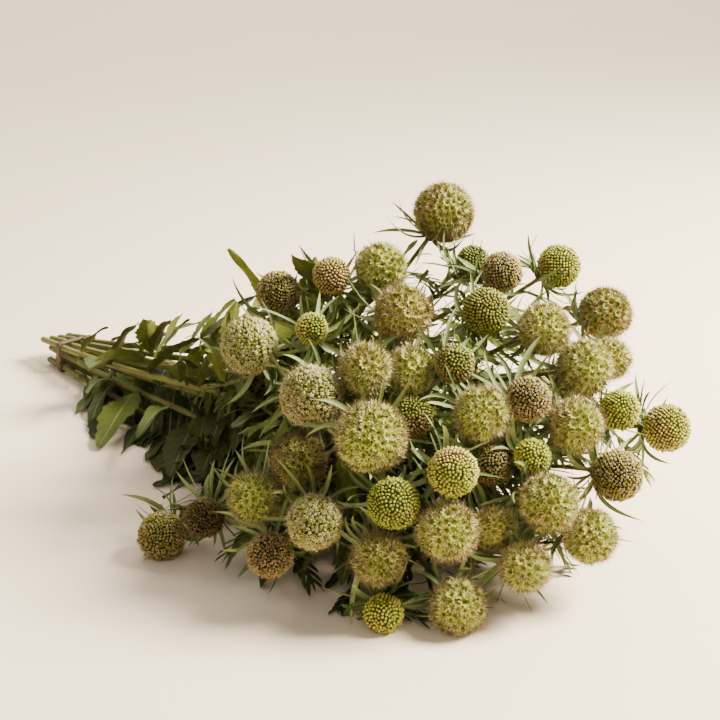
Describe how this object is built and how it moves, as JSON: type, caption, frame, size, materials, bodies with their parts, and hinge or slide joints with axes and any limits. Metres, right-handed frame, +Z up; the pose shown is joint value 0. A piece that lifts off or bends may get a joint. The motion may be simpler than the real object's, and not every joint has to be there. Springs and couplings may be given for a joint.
{
  "type": "bunch of pincushion flower seed heads",
  "caption": "Bunch of pincushion flower seed pods on leafy green stems, held by an elastic band and lying on its side.",
  "frame": {"origin": "centre of the footprint, on the table that the bunch lies on", "axes": "+Z up from the table, +Y away from the front seed heads towards the cut ends' side, +X to the right; the cut ends lie at -X +Y and the seed heads at +X -Y"},
  "size_m": [0.4228, 0.411, 0.1781],
  "materials": {
    "papery": "dry papery cups, straw rims over green",
    "fuzzy": "dense cream bristles",
    "brown": "brown bristly tips",
    "bead": "tight round seeds, slightly waxy",
    "stem": "fresh stem and leaf, satin",
    "band": "matt elastic"
  },
  "bodies": {
    "root": {"band": "band", "leafy_stem_01": "stem", "leafy_stem_02": "stem", "leafy_stem_03": "stem", "leafy_stem_04": "stem", "leafy_stem_05": "stem", "leafy_stem_06": "stem", "leafy_stem_07": "stem", "leafy_stem_08": "stem", "leafy_stem_09": "stem", "leafy_stem_10": "stem", "leafy_stem_11": "stem", "leafy_stem_12": "stem", "seed_head_01": "brown", "seed_head_02": "bead", "seed_head_03": "fuzzy", "seed_head_04": "bead", "seed_head_05": "papery", "seed_head_06": "papery", "seed_head_07": "papery", "seed_head_08": "papery", "seed_head_09": "fuzzy", "seed_head_10": "papery", "seed_head_11": "bead", "seed_head_12": "brown", "seed_head_13": "bead", "seed_head_14": "bead", "seed_head_15": "papery", "seed_head_16": "papery", "seed_head_17": "papery", "seed_head_18": "papery", "seed_head_19": "bead", "seed_head_20": "papery", "seed_head_21": "brown", "seed_head_22": "papery", "seed_head_23": "bead", "seed_head_24": "bead", "seed_head_25": "bead", "seed_head_26": "brown", "seed_head_27": "bead", "seed_head_28": "brown", "seed_head_29": "papery", "seed_head_30": "papery", "seed_head_31": "papery", "seed_head_32": "papery", "seed_head_33": "papery", "seed_head_34": "papery", "seed_head_35": "papery", "seed_head_36": "papery", "seed_head_37": "papery", "seed_head_38": "fuzzy", "seed_head_39": "bead", "seed_head_40": "brown", "seed_head_41": "papery", "seed_head_42": "bead", "seed_head_43": "brown", "seed_head_44": "brown", "seed_head_45": "bead", "seed_head_46": "papery", "seed_head_47": "brown"}
  },
  "joints": []
}
